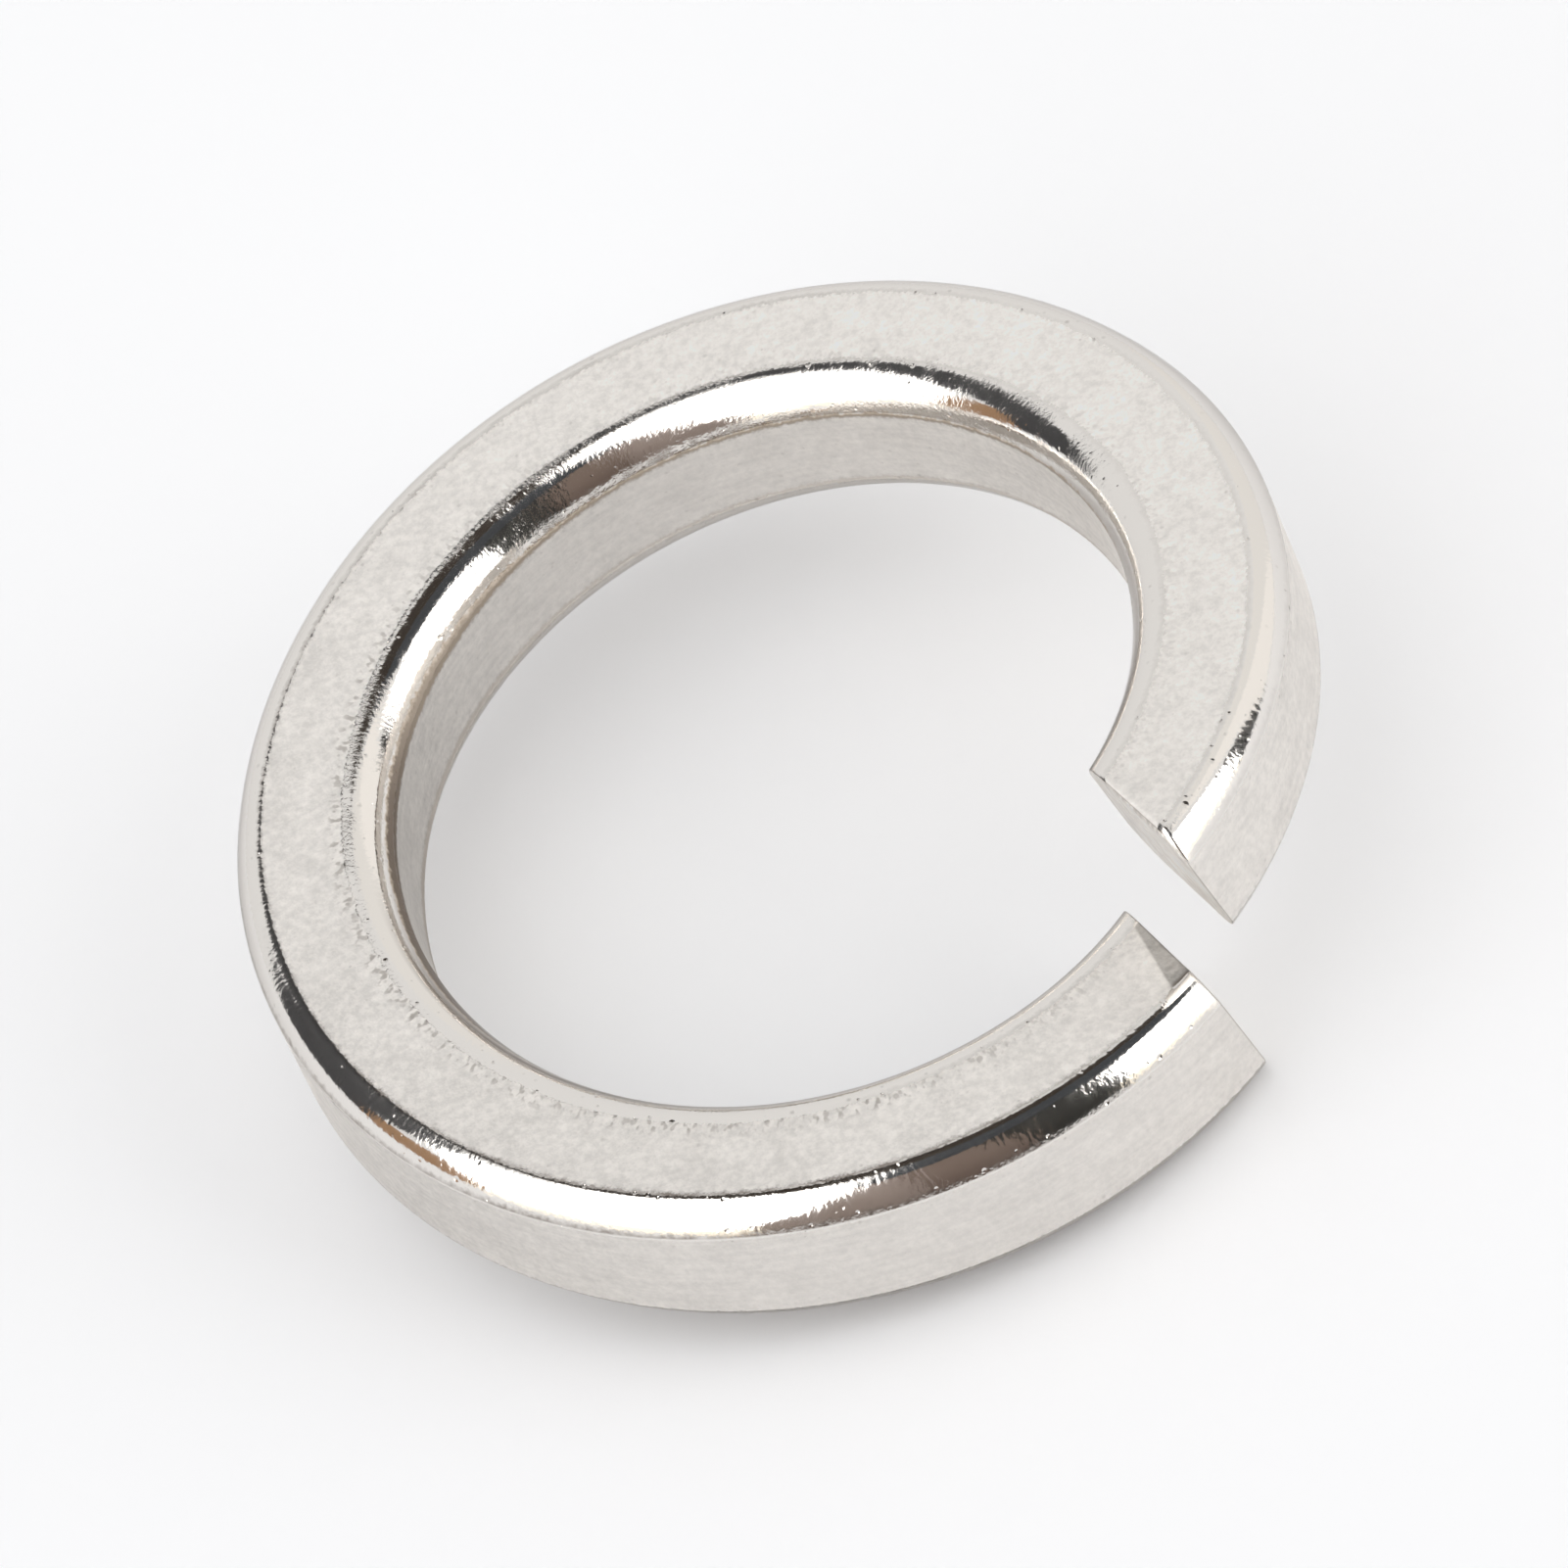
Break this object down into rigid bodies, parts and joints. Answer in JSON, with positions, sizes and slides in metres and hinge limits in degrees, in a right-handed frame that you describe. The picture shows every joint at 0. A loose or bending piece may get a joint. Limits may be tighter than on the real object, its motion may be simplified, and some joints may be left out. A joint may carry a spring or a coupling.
{
  "type": "spring lock washer",
  "caption": "Split ring coiled from square bar with slanted sheared ends that stand apart, to lock a screw or nut by spring force.",
  "frame": {"origin": "on the axis of the bore, level with the lowest tip of the low end", "axes": "+Z along the bore, from the low end up to the raised end; the slit points between +X and -Y"},
  "size_m": [0.0344, 0.0344, 0.0116],
  "materials": {
    "bright_steel": "satin ring faces and walls, bright tumbled edges"
  },
  "bodies": {
    "root": {"spring_washer": "bright_steel"}
  },
  "joints": []
}
